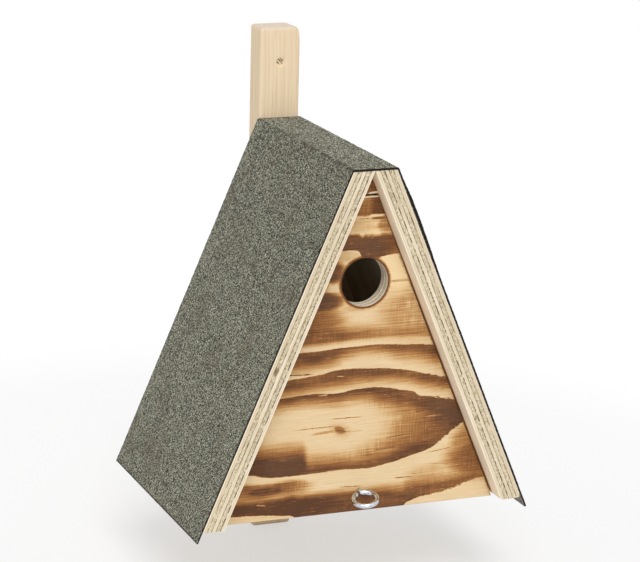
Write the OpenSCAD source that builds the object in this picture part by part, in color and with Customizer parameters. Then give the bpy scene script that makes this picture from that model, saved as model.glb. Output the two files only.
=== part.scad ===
// A-frame nest box for small hole-nesting birds.
//
// Two thick plywood panels lean together into a steep roof that is also the side walls. A
// sheet of mineral felt wraps over them. The back board and the floor close the box, and the
// front is sawn in two: a small fixed gable piece above, and a door below that turns on two
// nails. A long batten on the back carries the box on a tree, a post or a wall.
//
// The origin is on the batten's flat back face, midway across it, level with the lower ends
// of the roof panels. +X is the right-hand side seen from the front, -Y is the front, +Z is
// up. All sizes are in millimetres and degrees.

/* [Roof] */
// Height of the inner apex above the lower ends of the roof panels
apex_h = 200; // [165:1:260]
// Lean of each roof panel from the vertical
lean = 23; // [21:0.5:30]
// Length of the roof from back to front
roof_l = 150; // [120:1:200]
// Thickness of the plywood roof panels
roof_t = 12; // [9:0.5:18]
// Thickness of the roofing felt
felt_t = 1.5; // [1:0.1:3]
// Length of felt that runs on past the lower end of each panel
felt_drop = 6; // [2:0.5:15]

/* [Box] */
// Thickness of the back board
back_t = 10; // [8:0.5:15]
// Thickness of the floor board
floor_t = 10; // [8:0.5:15]

/* [Front] */
// Thickness of the gable piece and the door
front_t = 10; // [8:0.5:15]
// Depth of the front behind the roof's front edge
front_recess = 11; // [5:0.5:20]
// Height of the fixed gable piece, from the inner apex down
gable_h = 15; // [12:0.5:22]
// Width of the saw cut between the gable piece and the door
saw_cut = 2; // [1.6:0.1:4]
// Distance that the door's lower edge stands below the roof panels
door_drop = 1; // [0:0.5:4]
// Gap beside the door, square to the roof panel
door_gap = 1.3; // [1.3:0.1:3]
// Gap between the closed door and the floor board
door_back_gap = 0.3; // [0.2:0.1:1]

/* [Entrance hole] */
// Diameter of the entrance hole
hole_d = 28; // [24:1:34]
// Distance from the inner apex down to the hole's centre
hole_below_apex = 66; // [60:1:90]

/* [Hinge nails] */
// Diameter of the two nails that the door turns on
hinge_d = 2; // [1.6:0.1:3]
// Distance from the door's upper edge down to the nails
hinge_below_top = 12; // [8:0.5:16]
// Length of each nail inside the door
hinge_bite = 7; // [4:0.5:9]
// Radial running clearance of the nails in the door
hinge_play = 0.05; // [0.02:0.01:0.1]

/* [Screw eye] */
// Diameter of the wire
eye_wire_d = 2.8; // [2:0.1:4]
// Outer diameter of the ring
eye_ring_d = 16.4; // [13:0.1:20]
// Length of straight neck between the door and the ring
eye_neck = 1.6; // [1:0.1:5]
// Length of thread in the door
eye_thread = 8; // [4:0.5:8]
// Height of the eye above the door's lower edge
eye_up = 12.5; // [11:0.5:30]
// Droop of the eye below the horizontal
eye_droop = 14; // [0:1:26]
// Turn of the ring about its thread, its right-hand side upward
eye_twist = 8; // [-20:1:20]

/* [Batten] */
// Width of the batten
batten_w = 25; // [20:1:40]
// Thickness of the batten
batten_t = 19; // [15:1:30]
// Length of batten above the roof felt
batten_over = 54; // [40:1:90]
// Length of batten below the roof panels
batten_under = 58; // [40:1:90]
// Bevel of the long edges and the ends
batten_bevel = 1.6; // [0.5:0.1:2.5]
// Diameter of the two hanging holes
hang_d = 3.5; // [3:0.5:6]
// Distance of each hanging hole from its end of the batten
hang_in = 21; // [12:1:30]

/* [Batten screws] */
// Diameter of the screws that hold the batten
screw_d = 3.5; // [3:0.1:4.5]
// Diameter of their countersunk heads
screw_head_d = 7; // [6:0.1:9]
// Length of the screws in the back board
screw_bite = 7; // [4:0.5:7]
// Height of the lower screw above the lower ends of the roof panels
screw_low_z = 30; // [20:1:50]
// Distance between the two screws
screw_pitch = 100; // [60:1:100]

/* [Fixing nails] */
// Diameter of the nails in the back board and the floor
nail_d = 1.8; // [1.4:0.1:2.2]
// Diameter of all nail heads
nail_head_d = 4; // [3:0.1:5]
// Length of each nail inside the board it holds
nail_bite = 18; // [10:1:20]
// Distance of the lowest back nail from the lower end of its panel, along the slope
back_nail_start = 30; // [20:1:45]
// Distance between back nails, along the slope
back_nail_pitch = 60; // [40:1:65]
// Number of nails in each sloping edge of the back board
back_nail_count = 3; // [2:1:3]
// Distance between the two nails in each side of the floor
floor_nail_pitch = 70; // [40:1:70]
// Diameter of the brads in the gable piece
brad_d = 1.2; // [1:0.1:1.4]
// Length of each brad inside the gable piece
brad_bite = 5; // [3:0.5:5]
// Distance from the inner apex down to the brads, at the panel's inner face
brad_below_apex = 9.5; // [8:0.5:10]
// Distance between the two brads, from front to back
brad_stagger = 4; // [3:0.5:5]

/* [Hidden] */
// Smoothness of round surfaces
$fn = 64;
// Radial clearance of every nail, screw and thread that is fast in its wood
fast_fit = 0.02;
// Depth of the nail and screw heads below the surface
head_sunk = 0.3;
// Thickness of the nail heads
nail_head_t = 0.9;
// Length of the nail and screw points
point_l = 3;
// Diameter at the very tip of a point
point_d = 0.4;
// Extra length of the cuts that run out through a surface
cut_out = 5;
// Flats around each bend of the felt
bend_steps = 6;

back_y = -batten_t;                       // back edges of the roof, back face of the back board
roof_front_y = back_y - roof_l;           // front edges of the roof
front_y = roof_front_y + front_recess;    // front face of the gable piece and the door
front_back_y = front_y + front_t;         // their back face
front_mid_y = front_y + front_t / 2;      // halfway through them
gable_z = apex_h - gable_h;               // lower edge of the gable piece
door_top_z = gable_z - saw_cut;           // upper edge of the door
hinge_z = door_top_z - hinge_below_top;   // axis of the hinge nails
hole_z = apex_h - hole_below_apex;        // centre of the entrance hole
eye_z = eye_up - door_drop;               // where the eye leaves the door
batten_top_z = apex_h + felt_t + batten_over;
eye_ring_r = (eye_ring_d - eye_wire_d) / 2;

// Half the clear width between the roof panels at height z
function inner_x(z) = (apex_h - z) * tan(lean);
// Half the width over the roof panels at height z
function outer_x(z) = inner_x(z) + roof_t / cos(lean);

// Extrudes an outline drawn in X and Z from y_back forward by the given length
module slab(y_back, length) {
    translate([0, y_back, 0])
        rotate([90, 0, 0])
            linear_extrude(length)
                children();
}

// Outline between the roof panels from z_low to z_high, set in from each by a gap
module between_panels(z_low, z_high, gap = 0) {
    inset = gap / cos(lean);
    low = inner_x(z_low) - inset;
    high = inner_x(z_high) - inset;
    if (high > 0.001)
        polygon([[-low, z_low], [low, z_low], [high, z_high], [-high, z_high]]);
    else
        polygon([[-low, z_low], [low, z_low], [0, z_high]]);
}

// A round nail whose head faces +Z at the origin, grown by fit to make its hole
module nail(d, head_d, length, fit = 0) {
    run_out = fit > 0 ? cut_out : 0;
    translate([0, 0, -nail_head_t - fit])
        cylinder(d = head_d + 2 * fit, h = nail_head_t + fit + run_out);
    translate([0, 0, point_l - length])
        cylinder(d = d + 2 * fit, h = length - point_l);
    translate([0, 0, -length - fit])
        cylinder(d1 = point_d + 2 * fit, d2 = d + 2 * fit, h = point_l + fit);
}

// Places a nail driven level into the right-hand panel at height z, with its point at x_tip
module level_nail(y, z, d, x_tip, fit = 0) {
    x_head = outer_x(z) - nail_head_d / 2 * tan(lean) - head_sunk;
    translate([x_head, y, z])
        rotate([0, 90, 0])
            nail(d, nail_head_d, x_head - x_tip, fit);
}

// Places a nail driven square to the right-hand panel, where z is its height at the inner face
module square_nail(y, z, d, bite, fit = 0) {
    reach = roof_t - head_sunk;
    translate([inner_x(z), y, z])
        rotate([0, 90 - lean, 0])
            translate([0, 0, reach])
                nail(d, nail_head_d, reach + bite, fit);
}

module hinge_nail(fit = 0) {
    x_tip = inner_x(hinge_z) - door_gap / cos(lean) - hinge_bite;
    level_nail(front_mid_y, hinge_z, hinge_d, x_tip, fit);
}

module back_nails(fit = 0) {
    for (i = [0 : back_nail_count - 1])
        square_nail(
            back_y - back_t / 2,
            (back_nail_start + i * back_nail_pitch) * cos(lean),
            nail_d, nail_bite, fit
        );
}

module floor_nails(fit = 0) {
    mid_y = (back_y - back_t + front_back_y) / 2;
    for (side = [-1, 1])
        level_nail(
            mid_y + side * floor_nail_pitch / 2,
            floor_t / 2,
            nail_d, inner_x(floor_t / 2) - nail_bite, fit
        );
}

module gable_brad(side, fit = 0) {
    square_nail(
        front_mid_y + side * brad_stagger / 2,
        apex_h - brad_below_apex,
        brad_d, brad_bite, fit
    );
}

module roof_panel(side) {
    difference() {
        slab(back_y, roof_l)
            polygon([
                [0, apex_h], [inner_x(0), 0], [outer_x(0), 0], [outer_x(apex_h), apex_h]
            ]);
        hinge_nail(fast_fit);
        back_nails(fast_fit);
        floor_nails(fast_fit);
        gable_brad(side, fast_fit);
    }
}

module left_roof_panel() {
    color("burlywood") left_side() roof_panel(-1);
}

module right_roof_panel() {
    color("burlywood") roof_panel(1);
}

module roofing_felt() {
    drop = [felt_drop * sin(lean), -felt_drop * cos(lean)];
    edge = [felt_t * cos(lean), felt_t * sin(lean)];
    lower_end = [outer_x(0), 0] + drop;
    bend = [outer_x(apex_h), apex_h];
    right = concat(
        [bend, lower_end, lower_end + edge],
        [for (i = [0 : bend_steps])
            let (turn = lean + (90 - lean) * i / bend_steps)
            bend + felt_t * [cos(turn), sin(turn)]]
    );
    left = [for (i = [len(right) - 1 : -1 : 0]) [-right[i][0], right[i][1]]];
    color("dimgray")
        slab(back_y, roof_l)
            polygon(concat(right, left));
}

module back_board() {
    color("wheat")
        difference() {
            slab(back_y, back_t) between_panels(0, apex_h);
            back_nails(fast_fit);
            left_side() back_nails(fast_fit);
            batten_screw(screw_low_z, fast_fit);
            batten_screw(screw_low_z + screw_pitch, fast_fit);
        }
}

module floor_board() {
    floor_l = back_y - back_t - front_back_y - door_back_gap;
    color("wheat")
        difference() {
            slab(back_y - back_t, floor_l) between_panels(0, floor_t);
            floor_nails(fast_fit);
            left_side() floor_nails(fast_fit);
        }
}

module gable_piece() {
    color("peru")
        difference() {
            slab(front_back_y, front_t) between_panels(gable_z, apex_h);
            gable_brad(1, fast_fit);
            left_side() gable_brad(-1, fast_fit);
        }
}

module front_door() {
    color("sandybrown")
        difference() {
            slab(front_back_y, front_t)
                between_panels(-door_drop, door_top_z, door_gap);
            translate([0, front_back_y + 1, hole_z])
                rotate([90, 0, 0])
                    cylinder(d = hole_d, h = front_t + 2);
            hinge_nail(hinge_play);
            left_side() hinge_nail(hinge_play);
            eye_place() eye_shank(fast_fit);
        }
}

// Turns the eye's own frame, with its thread along +Z, to point into the door
module eye_place() {
    translate([0, front_y, eye_z])
        rotate([eye_droop - 90, 0, 0])
            children();
}

// The straight wire of the eye, from the ring's inside to the end of the thread
module eye_shank(fit = 0) {
    translate([0, 0, -eye_neck - eye_wire_d / 2])
        cylinder(d = eye_wire_d + 2 * fit, h = eye_neck + eye_wire_d / 2 + eye_thread + fit);
}

module screw_eye() {
    color("silver")
        eye_place() {
            eye_shank();
            translate([0, 0, -eye_neck - eye_ring_r - eye_wire_d / 2])
                rotate([90, 0, -eye_twist])
                    rotate_extrude()
                        translate([eye_ring_r, 0])
                            circle(d = eye_wire_d, $fn = 32);
        }
}

// Outline of the batten seen along one axis, bevelled at its corners
module bevelled(low, high) {
    b = batten_bevel;
    polygon([
        [low[0] + b, low[1]], [high[0] - b, low[1]], [high[0], low[1] + b],
        [high[0], high[1] - b], [high[0] - b, high[1]], [low[0] + b, high[1]],
        [low[0], high[1] - b], [low[0], low[1] + b]
    ]);
}

module hanging_batten() {
    half_w = batten_w / 2;
    color("navajowhite")
        difference() {
            intersection() {
                translate([0, 0, -batten_under])
                    linear_extrude(batten_top_z + batten_under)
                        bevelled([-half_w, -batten_t], [half_w, 0]);
                slab(0, batten_t)
                    bevelled([-half_w, -batten_under], [half_w, batten_top_z]);
            }
            for (z = [hang_in - batten_under, batten_top_z - hang_in])
                translate([0, 1, z])
                    rotate([90, 0, 0])
                        cylinder(d = hang_d, h = batten_t + 2);
            batten_screw(screw_low_z, fast_fit);
            batten_screw(screw_low_z + screw_pitch, fast_fit);
        }
}

// A countersunk screw driven forward through the batten, grown by fit to make its hole
module batten_screw(z, fit = 0) {
    head_t = (screw_head_d - screw_d) / 2;
    length = batten_t - head_sunk + screw_bite;
    run_out = fit > 0 ? cut_out : 0;
    translate([0, -head_sunk, z])
        rotate([90, 0, 0]) {
            cylinder(d1 = screw_head_d + 2 * fit, d2 = screw_d + 2 * fit, h = head_t);
            cylinder(d = screw_d + 2 * fit, h = length - point_l);
            translate([0, 0, length - point_l])
                cylinder(d1 = screw_d + 2 * fit, d2 = point_d + 2 * fit, h = point_l + fit);
            if (run_out > 0)
                translate([0, 0, -run_out])
                    cylinder(d = screw_head_d + 2 * fit, h = run_out);
        }
}

// Mirrors a right-hand piece to the left-hand side
module left_side() {
    mirror([1, 0, 0]) children();
}

module upper_batten_screw() {
    color("silver") batten_screw(screw_low_z + screw_pitch);
}

module lower_batten_screw() {
    color("silver") batten_screw(screw_low_z);
}

module left_hinge_nail() {
    color("silver") left_side() hinge_nail();
}

module right_hinge_nail() {
    color("silver") hinge_nail();
}

module left_back_nails() {
    color("silver") left_side() back_nails();
}

module right_back_nails() {
    color("silver") back_nails();
}

module left_floor_nails() {
    color("silver") left_side() floor_nails();
}

module right_floor_nails() {
    color("silver") floor_nails();
}

module left_gable_brad() {
    color("silver") left_side() gable_brad(-1);
}

module right_gable_brad() {
    color("silver") gable_brad(1);
}

left_roof_panel();
right_roof_panel();
roofing_felt();
back_board();
floor_board();
gable_piece();
front_door();
screw_eye();
hanging_batten();
upper_batten_screw();
lower_batten_screw();
left_hinge_nail();
right_hinge_nail();
left_back_nails();
right_back_nails();
left_floor_nails();
right_floor_nails();
left_gable_brad();
right_gable_brad();
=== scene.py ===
"""The finish of the nest box: scorched plywood front, layered roof panels, mineral felt and bare batten.

Lengths are in millimetres in the part's own frame and turn into metres where meshes are made.
+X is the right-hand side seen from the front, -Y is the front and +Z is up.
"""

import math
import random
from dataclasses import dataclass, field

import bpy
from mathutils import Matrix, Vector, noise
from mathutils.geometry import delaunay_2d_cdt


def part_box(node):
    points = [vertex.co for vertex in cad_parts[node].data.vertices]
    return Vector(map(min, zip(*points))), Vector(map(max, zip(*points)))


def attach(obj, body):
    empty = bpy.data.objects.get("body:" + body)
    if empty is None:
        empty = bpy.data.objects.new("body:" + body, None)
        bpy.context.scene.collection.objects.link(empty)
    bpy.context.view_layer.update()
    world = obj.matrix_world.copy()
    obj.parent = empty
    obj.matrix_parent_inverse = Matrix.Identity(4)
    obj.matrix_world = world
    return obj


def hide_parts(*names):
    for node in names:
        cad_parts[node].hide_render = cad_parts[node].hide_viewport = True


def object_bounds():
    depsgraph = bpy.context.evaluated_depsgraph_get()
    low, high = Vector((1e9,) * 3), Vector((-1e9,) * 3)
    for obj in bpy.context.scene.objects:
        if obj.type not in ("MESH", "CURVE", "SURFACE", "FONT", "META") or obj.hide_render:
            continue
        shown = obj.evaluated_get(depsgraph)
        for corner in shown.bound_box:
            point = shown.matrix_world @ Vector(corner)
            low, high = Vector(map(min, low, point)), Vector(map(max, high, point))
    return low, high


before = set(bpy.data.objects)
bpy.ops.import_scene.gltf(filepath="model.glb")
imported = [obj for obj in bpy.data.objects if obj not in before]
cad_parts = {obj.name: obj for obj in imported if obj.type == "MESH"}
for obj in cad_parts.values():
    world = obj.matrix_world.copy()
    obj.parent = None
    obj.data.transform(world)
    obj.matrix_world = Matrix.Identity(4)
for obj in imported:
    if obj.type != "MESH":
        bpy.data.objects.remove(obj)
cad_lo, cad_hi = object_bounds()

MM = 0.001


# ---------------------------------------------------------------- measures, from the frame


def corners(node):
    """The lowest and highest corner of a CAD node, in millimetres."""
    lo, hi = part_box(node)
    return lo / MM, hi / MM


PANEL_LO, PANEL_HI = corners("right_roof_panel")
FELT_LO, FELT_HI = corners("roofing_felt")
GABLE_LO, GABLE_HI = corners("gable_piece")
DOOR_LO, DOOR_HI = corners("front_door")
BACK_LO, BACK_HI = corners("back_board")
FLOOR_LO, FLOOR_HI = corners("floor_board")
BATTEN_LO, BATTEN_HI = corners("hanging_batten")

APEX = GABLE_HI.z                                # inner apex of the roof
LEAN = math.atan(GABLE_HI.x / (APEX - GABLE_LO.z))
SIN, COS, TAN = math.sin(LEAN), math.cos(LEAN), math.tan(LEAN)
ROOF_REAR, ROOF_FRONT = PANEL_HI.y, PANEL_LO.y
PANEL_T = (PANEL_HI.x - APEX * TAN) * COS        # thickness of the plywood roof panels
FELT_T = FELT_HI.z - APEX                        # thickness of the felt
FELT_DROP = -FELT_LO.z / COS + FELT_T * TAN      # length of felt past the panels' lower ends
FRONT_Y = DOOR_LO.y                              # front face of the door
FRONT_T = DOOR_HI.y - DOOR_LO.y
PLIES = 5
PLY_T = PANEL_T / PLIES


def inner_x(z):
    """Half the clear width between the roof panels at height z."""
    return (APEX - z) * TAN


# ---------------------------------------------------------------- shader kit


def paint(red, green, blue):
    """A colour written as it looks on a screen, from 0 to 255, as the linear values that Blender takes."""
    return (*((channel / 255) ** 2.2 for channel in (red, green, blue)), 1.0)


def feed(value, socket):
    """Links a Field into a socket, or sets a plain number, vector or colour on it."""
    if isinstance(value, Field):
        socket.id_data.links.new(value.socket, socket)
    else:
        socket.default_value = value


def added(tree, kind, *values, operation=None, **named):
    """A new shader node, with its first inputs fed in order and others by their names."""
    node = tree.nodes.new("ShaderNode" + kind)
    if operation:
        node.operation = operation
    for value, socket in zip(values, node.inputs):
        feed(value, socket)
    for name, value in named.items():
        feed(value, node.inputs[name])
    return node


class Field:
    """A number, vector or colour that varies over a surface. Arithmetic on it adds Math nodes."""

    def __init__(self, node, output=0):
        self.socket = node.outputs[output]
        self.tree = node.id_data

    def math(self, operation, *others):
        return Field(added(self.tree, "Math", self, *others, operation=operation))

    def __add__(self, other):
        return self.math("ADD", other)

    def __sub__(self, other):
        return self.math("SUBTRACT", other)

    def __rsub__(self, other):
        return -self + other

    def __mul__(self, other):
        return self.math("MULTIPLY", other)

    def __neg__(self):
        return self * -1.0

    def __abs__(self):
        return self.math("ABSOLUTE")

    __radd__ = __add__
    __rmul__ = __mul__

    def most(self, other):
        return self.math("MAXIMUM", other)

    def least(self, other):
        return self.math("MINIMUM", other)

    def ease(self, start, end, course="SMOOTHSTEP"):
        """0 at start, 1 at end and smooth between them. The two may also run downwards."""
        node = added(self.tree, "MapRange", self, start, end)
        node.interpolation_type = course
        return Field(node, "Result")

    def along(self, *points):
        """The height, at this value, of a smooth line through (place, height) points."""
        if len(points) == 1:
            return points[0][1]
        places, heights = zip(*points)
        first, width = places[0], places[-1] - places[0]
        low = min(heights)
        rise = max(max(heights) - low, 1e-6)
        node = added(self.tree, "FloatCurve", Value=(self - first) * (1 / width))
        node.mapping.extend = "HORIZONTAL"
        curve = node.mapping.curves[0]
        curve.points[0].location = (0.0, (heights[0] - low) / rise)
        curve.points[1].location = (1.0, (heights[-1] - low) / rise)
        for place, height in points[1:-1]:
            curve.points.new((place - first) / width, (height - low) / rise)
        node.mapping.update()
        return Field(node, "Value") * rise + low

    def ramp(self, *stops):
        """A colour for this value, from (value, colour) stops."""
        node = added(self.tree, "ValToRGB", self)
        band = node.color_ramp
        while len(band.elements) < len(stops):
            band.elements.new(0.5)
        for element, (place, colour) in zip(band.elements, stops):
            element.position = place
            element.color = colour
        return Field(node, "Color")


def span(a, b):
    """Length of the line whose two legs are the Fields a and b."""
    return (a * a + b * b).math("SQRT")


class Finish:
    """A material being built round one Principled shader, in millimetres of the part's own frame."""

    def __init__(self, name):
        self.material = bpy.data.materials.new(name)
        self.material.use_nodes = True
        self.tree = self.material.node_tree
        self.shader = self.tree.nodes["Principled BSDF"]
        self.place = self.vectors("SCALE", Field(added(self.tree, "TexCoord"), "Object"), Scale=1 / MM)
        split = added(self.tree, "SeparateXYZ", self.place)
        self.x, self.y, self.z = (Field(split, i) for i in range(3))

    def vectors(self, operation, *values, **named):
        """A Field from a Vector Math node."""
        node = added(self.tree, "VectorMath", *values, operation=operation, **named)
        return Field(node, "Value" if operation == "DOT_PRODUCT" else "Vector")

    def measured(self, direction, start=0.0):
        """Distance along a direction of the part's frame, from the plane at start."""
        return self.vectors("DOT_PRODUCT", self.place, direction) - start

    def scaled(self, factor, shift=(0.0, 0.0, 0.0)):
        """The place on the part times factor, moved by shift."""
        return self.vectors("MULTIPLY_ADD", self.place, (factor,) * 3, shift)

    def noise(self, place, detail=2.0, roughness=0.5):
        """Cloudy noise round 0.5, one cloud to each unit of place, which is a Field or a tuple."""
        if isinstance(place, tuple):
            place = Field(added(self.tree, "CombineXYZ", *place))
        numbers = dict(Scale=1.0, Detail=detail, Roughness=roughness)
        return Field(added(self.tree, "TexNoise", Vector=place, **numbers))

    def cells(self, place):
        """Pebbles one unit across, each with its own random number."""
        pebbles = added(self.tree, "TexVoronoi", Vector=place, Scale=1.0)
        return Field(added(self.tree, "SeparateColor", Field(pebbles, "Color")))

    def blend(self, share, low, high):
        """The colour low where share is 0 and high where it is 1."""
        node = self.tree.nodes.new("ShaderNodeMix")
        node.data_type = "RGBA"
        for value, socket in zip((share, low, high), (s for s in node.inputs if s.enabled)):
            feed(value, socket)
        return Field(node, next(i for i, s in enumerate(node.outputs) if s.enabled))

    def done(self, colour, roughness, height=None, metallic=0.0):
        """Connects colour and roughness, and height in millimetres as bump, and gives the material."""
        feed(colour, self.shader.inputs["Base Color"])
        feed(roughness, self.shader.inputs["Roughness"])
        self.shader.inputs["Metallic"].default_value = metallic
        if height is not None:
            bump = added(self.tree, "Bump", Distance=MM, Height=height)
            feed(Field(bump), self.shader.inputs["Normal"])
        return self.material


# ---------------------------------------------------------------- materials

CREAM = paint(222, 207, 179)
PALE_VENEER = paint(231, 210, 178)
DARK_VENEER = paint(205, 174, 134)
BITUMEN = paint(30, 25, 17)


def to_right_side(f):
    """Level distance from the right-hand side of the door, which follows the roof."""
    return (f.z - APEX) * -TAN - DOOR_SET_IN - f.x


# The burn follows the flat grain round a knot. Each ring is a row of edge, side, full, fade, tone and
# hardness, most of them as (x, value) points: the burn starts at the edge's height, on the side above (1)
# or below it (-1), keeps its tone for the full distance and is gone at the fade distance.
EYE_TOP = ((-56, 69.4), (-42, 70.8), (-30, 71.4), (-15, 70.4), (-4, 71.6), (5, 72.1), (15, 71.2),
           (25, 68.8), (32, 67.2), (36, 64.4), (45, 63.0), (60, 60.0))
EYE_FLOOR = ((-76, 28), (-66, 26.9), (-58, 25), (-50, 24.1), (-32, 24.2), (-12, 24.7), (0, 24.2),
             (8, 24.4), (18, 25.8), (30, 28.8), (40, 31), (46, 33.4), (51, 37.4), (57, 41.6), (64, 46))
RING_OVER_EYE = (
    EYE_TOP, -1,
    ((-56, 0.5), (-30, 1.5), (-2, 1), (10, 3), (20, 4.5), (60, 8)),
    ((-56, 11), (-30, 10.5), (-2, 12), (10, 15), (20, 19), (60, 26)),
    ((-56, 0.72), (-30, 0.84), (8, 0.84), (30, 0.8), (60, 0.9)),
)
RING_UNDER_EYE = (
    EYE_FLOOR, 1,
    ((-76, 9), (-36, 8.5), (-31, 2), (-5, 1), (8, 2), (22, 3), (64, 6)),
    ((-76, 24), (-38, 23), (-30, 16), (-8, 14), (0, 13), (8, 15), (22, 18), (64, 22)),
    ((-76, 0.84), (-60, 0.97), (-36, 1.0), (-30, 0.8), (0, 0.84), (30, 0.86), (64, 0.94)),
)
RINGS = (
    # the gable piece
    (((-8, 184.4), (8, 184.4)), 1, ((0, 30),), ((0, 40),), ((-8, 0.3), (-2, 0.4), (1, 0.62), (8, 0.8))),
    # the top of the door, below the saw cut
    (((-14, 171.4), (-6, 172.4), (0, 172.0), (4, 172.9), (14, 171.4)), 1, ((0, 10.5),), ((0, 14),),
     ((-14, 0.55), (1, 0.56), (5, 0.78), (14, 0.74)), 1.4),
    # over the entrance hole
    (((-20, 152.4), (-8, 152.9), (-5, 152.3), (-3, 150.2), (-1, 148.2), (7, 147.4), (11, 148.5), (22, 149.4)),
     1,
     ((-16, 8.2), (-5, 8.4), (0, 12), (8, 12), (20, 7)),
     ((-16, 10.2), (-5, 10.4), (0, 14.5), (8, 14.6), (20, 11.5)),
     ((-16, 0.82), (4, 0.87), (9, 0.78), (20, 0.6))),
    # soft brown under the entrance hole
    (((-46, 99.5), (-20, 100), (0, 100.8), (20, 100.4), (46, 98.6)), 1,
     ((-46, 9), (-22, 8), (0, 4), (46, 4)),
     ((-46, 24), (-22, 22), (-2, 12.5), (10, 12), (20, 16), (46, 22)),
     ((-46, 0.74), (-16, 0.66), (0, 0.52), (24, 0.48), (46, 0.56)), 4.5),
    # two arches high over the knot
    (((-46, 95.8), (-22, 96.3), (-1, 97), (10, 97), (25, 96), (46, 94)), -1,
     ((-46, 6), (-20, 4), (0, 0.5), (20, 2), (46, 5)),
     ((-46, 15), (-20, 13.5), (4, 8.5), (22, 13), (46, 17)),
     ((-46, 0.8), (-8, 0.82), (4, 0.72), (30, 0.74), (46, 0.82))),
    (((-50, 79.8), (-38, 81.4), (-25, 82.5), (-12, 84.2), (0, 83.8), (10, 83.1), (20, 81.8), (30, 79.9),
      (40, 77), (60, 73.2)), -1,
     ((-50, 2), (-24, 5), (0, 3.5), (20, 3), (60, 3)),
     ((-50, 13), (-12, 13.5), (10, 12), (40, 12), (60, 12)),
     ((-50, 0.72), (-30, 0.8), (6, 0.78), (30, 0.74), (60, 0.8))),
    # the last ring, cut off by the door's lower edge
    (((-80, 3.6), (-60, 2.5), (-50, 1.6), (-42, 0.5), (-34, -2), (24, -2), (30, 1), (40, 3.5), (50, 4.6),
      (60, 6.9), (70, 10), (80, 11.4)), 1,
     ((-80, 4), (-52, 7), (-34, 11), (-12, 12), (10, 11), (24, 8), (54, 4), (80, 2)),
     ((-80, 14), (-52, 14), (-34, 17), (-12, 17.5), (10, 17.5), (24, 18), (54, 16), (80, 10)),
     ((-80, 0.84), (-62, 1.0), (-36, 0.98), (-12, 0.84), (24, 0.82), (46, 0.76), (80, 0.55))),
    (((-80, 23), (-68, 21.6), (-56, 20.6), (-40, 21.4), (-32, 20)), -1, ((0, 4),), ((0, 24),),
     ((-80, 0.56), (-62, 0.68), (-44, 0.6), (-36, 0.44), (-28, 0.12), (-24, 0.0)), 3.0),
)
# soft brown round the knot, over the distance from its middle
KNOT_FADE = ((0.7, 0.0), (0.85, 0.07), (1.0, 0.2), (1.2, 0.42), (1.5, 0.56), (1.7, 0.74), (2.0, 0.88))
# soft brown patches: middle x and z, half width, half height, tone
PATCHES = (
    # the top of the door
    (0, 167, 20, 4.6, 0.2), (13, 166.6, 8, 5.2, 0.42), (7.5, 170.6, 6, 0.9, 0.6),
    # beside and under the entrance hole
    (-19.5, 141, 8, 6.8, 0.84), (-29, 134, 8, 9, 0.6), (-25, 124.4, 14, 6.6, 0.9), (-24, 150, 7, 3, 0.36),
    (-12, 150, 9, 4, 0.16), (-31, 113, 22, 10, 0.62), (23, 133.6, 12, 0.8, 0.3), (32, 114, 26, 17, 0.34),
    (-4, 119.6, 14, 2.2, 0.24),
    # the lower corners
    (-57, 16.5, 15, 3.2, 0.82), (76, 24, 25, 14, 0.66), (66, 33, 11, 12, 0.46), (44, 18.6, 17, 4.4, 0.2),
)
PALE_TONGUE = (-17, 131.4, 7, 2.4, 1.0)


def scorch(f):
    """How deeply the flame browned the front, from 0 to 1, and the two noises that fray it."""
    x, z = f.x, f.z
    wander = f.noise((x * 0.05, z * 0.12), 3.0)
    comb = f.noise((x * 1.4, z * 0.07), 3.0, 0.65)
    frayed = f.noise((x * 0.45, z * 1.1), 3.0, 0.6)
    wavy_z = z + (wander - 0.5) * 1.4 + (frayed - 0.5) * (x.ease(36, 50) * 3.2 + 0.9)

    def within(edge, side, hard=0.7):
        """1 on the burnt side of a hard edge, and the depth of wood beyond it."""
        depth = (wavy_z - x.along(*edge)) * side
        return depth.ease(-hard * 0.5, hard * 0.5), depth + (comb - 0.5) * 3.4

    def ring(edge, side, full, fade, tone, hard=0.7):
        inside, depth = within(edge, side, hard)
        left = depth.ease(x.along(*fade), x.along(*full), "LINEAR").math("POWER", 1.25)
        return inside * left * x.along(*tone)

    def patch(cx, cz, rx, rz, tone):
        radius = span((x - cx) * (1 / rx), (wavy_z - cz) * (1 / rz))
        return (radius + (comb - 0.5) * 0.4).ease(1.25, 0.5) * tone

    under_top, _ = within(EYE_TOP, -1)
    over_floor, _ = within(EYE_FLOOR, 1)
    eye_x = (x + 22).most(0.0) * (1 / 40)
    eye_z = (wavy_z - 52).most((wavy_z - 52) * (-14 / 19)) * (1 / 14)
    from_eye = span(eye_x, eye_z) + (comb - 0.5) * 0.16

    burn = to_right_side(f).ease(1.4, 0.2) * 0.3
    burn = burn.most(from_eye.along(*KNOT_FADE) * under_top * over_floor)
    burn = burn.most(ring(*RING_OVER_EYE) * over_floor)
    burn = burn.most(ring(*RING_UNDER_EYE) * under_top)
    for row in RINGS:
        burn = burn.most(ring(*row))
    for row in PATCHES:
        burn = burn.most(patch(*row))
    return burn * (patch(*PALE_TONGUE) * -0.75 + 1.0), comb, frayed


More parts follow.
